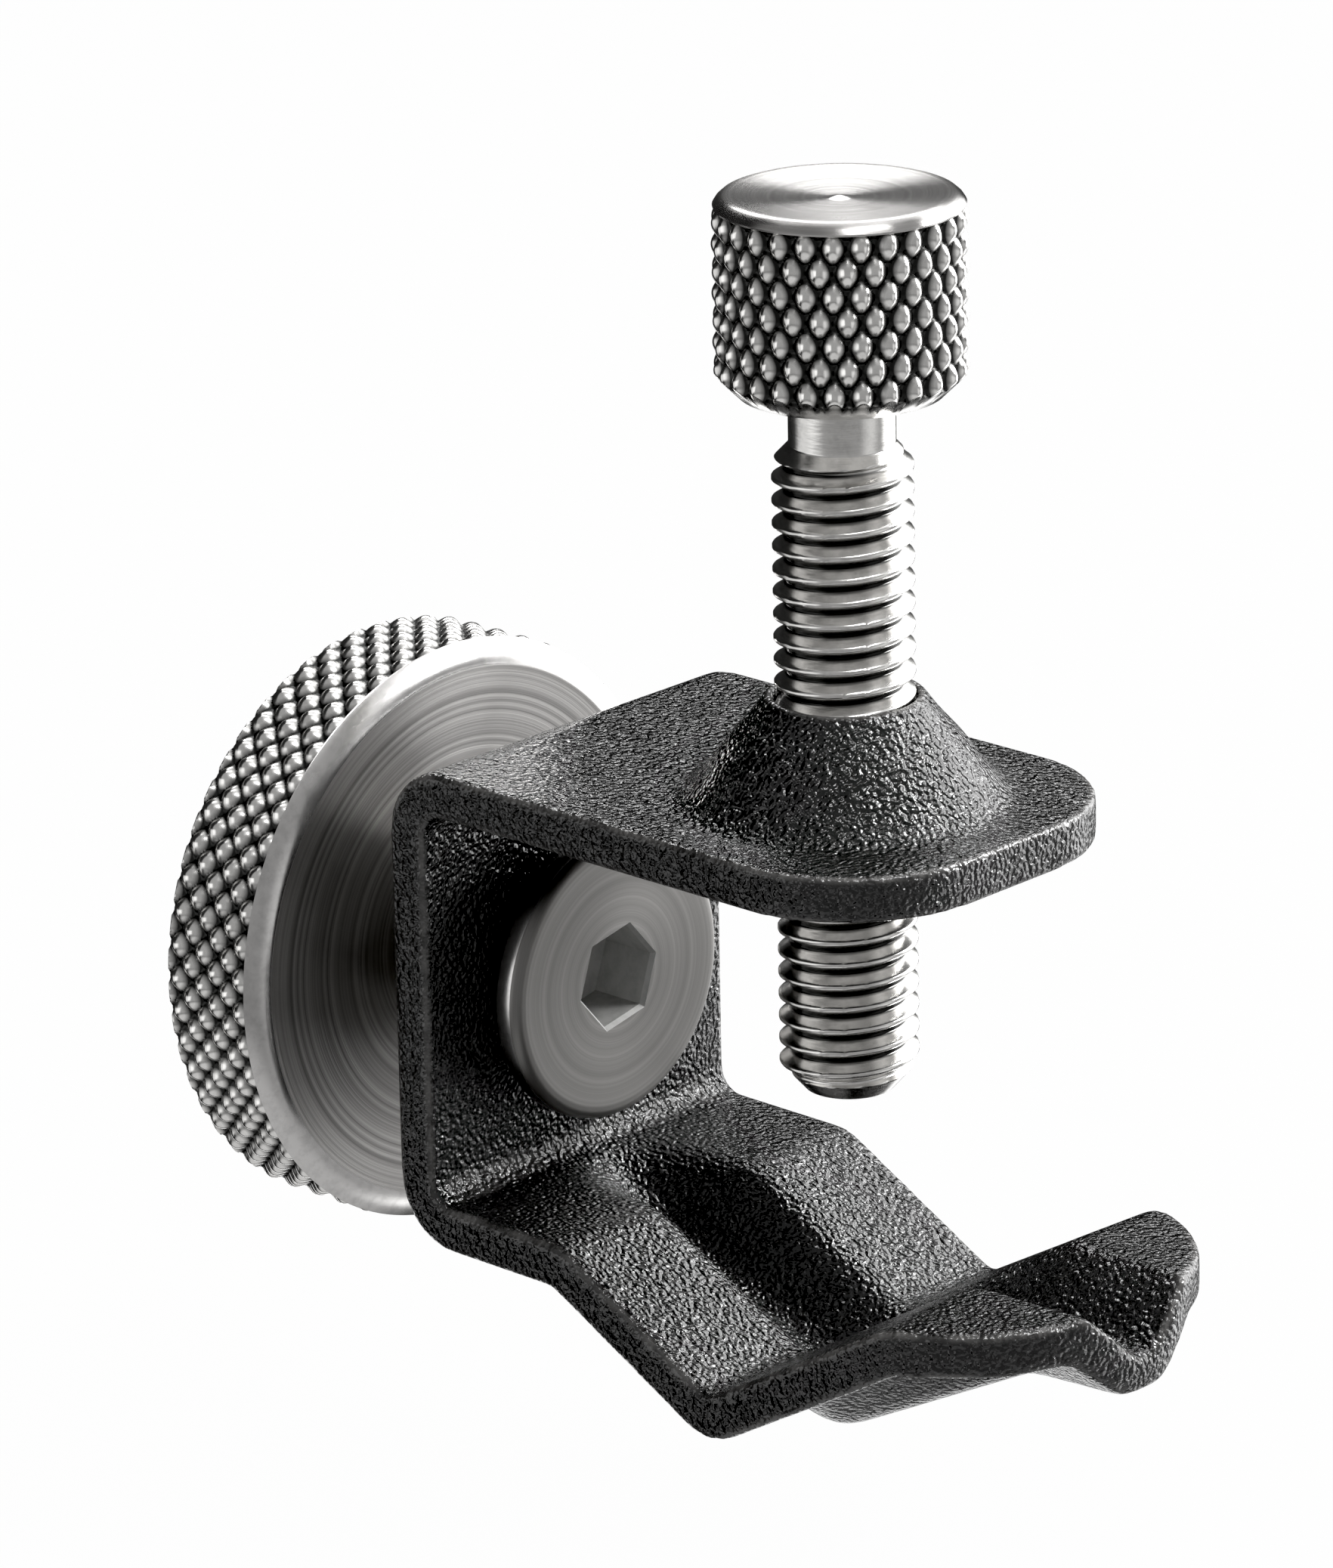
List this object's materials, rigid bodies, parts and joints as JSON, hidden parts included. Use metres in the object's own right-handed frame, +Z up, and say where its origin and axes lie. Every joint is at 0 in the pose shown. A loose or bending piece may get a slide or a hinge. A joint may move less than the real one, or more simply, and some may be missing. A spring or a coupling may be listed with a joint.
{
  "type": "super clamp",
  "caption": "Bent steel C clamp with a V jaw, a knurled thumb screw and a 3/8 inch accessory stud with a knurled lock disc on its back, for studio lights and grip gear.",
  "frame": {"origin": "on the axis of the accessory stud, in the plane an accessory seats against on the back of the lock disc as drawn", "axes": "+X from the accessory side along the stud towards the tip of the jaw, +Z up along the clamp screw to its knurled head, the clamp is symmetric about Y = 0"},
  "size_m": [0.0829, 0.0424, 0.0873],
  "materials": {
    "black_paint": "black wrinkle paint over steel plate",
    "stud_steel": "satin plated steel",
    "washer_steel": "zinc plated spring steel",
    "nut_steel": "zinc plated steel",
    "disc_alloy": "turned and diamond knurled",
    "rubber_black": "matt rubber",
    "screw_nickel": "bright nickel plated steel",
    "head_nickel": "bright nickel plated, diamond knurled",
    "tip_brass": "plain turned"
  },
  "bodies": {
    "frame": {"clamp_frame": "black_paint", "stud_screw": "stud_steel", "lock_washer": "washer_steel", "jam_nut": "nut_steel"},
    "tip": {"thrust_tip": "tip_brass"},
    "screw": {"clamp_screw": "screw_nickel", "thumb_head": "head_nickel"},
    "pad": {"friction_washer": "rubber_black"},
    "disc": {"lock_disc": "disc_alloy"}
  },
  "joints": [
    {"name": "screw_travel", "type": "slide", "parent": "frame", "child": "tip", "axis": [0, 0, 1], "range_m": [-0.016, 0.016]},
    {"name": "screw_turn", "type": "hinge", "parent": "tip", "child": "screw", "pos_m": [0.0457, 0, 0.03], "axis": [0, 0, 1], "range_deg": [-3628.5, 3628.5]},
    {"name": "disc_travel", "type": "slide", "parent": "frame", "child": "pad", "axis": [1, 0, 0], "range_m": [-0.005, 0.0006]},
    {"name": "disc_turn", "type": "hinge", "parent": "pad", "child": "disc", "pos_m": [0.004, 0, 0], "axis": [1, 0, 0], "range_deg": [-1134, 136.2]}
  ],
  "couplings": [
    {"joint": "screw_turn", "follows": "screw_travel", "rad_per_m": 3957.9},
    {"joint": "disc_turn", "follows": "disc_travel", "rad_per_m": 3957.9}
  ]
}
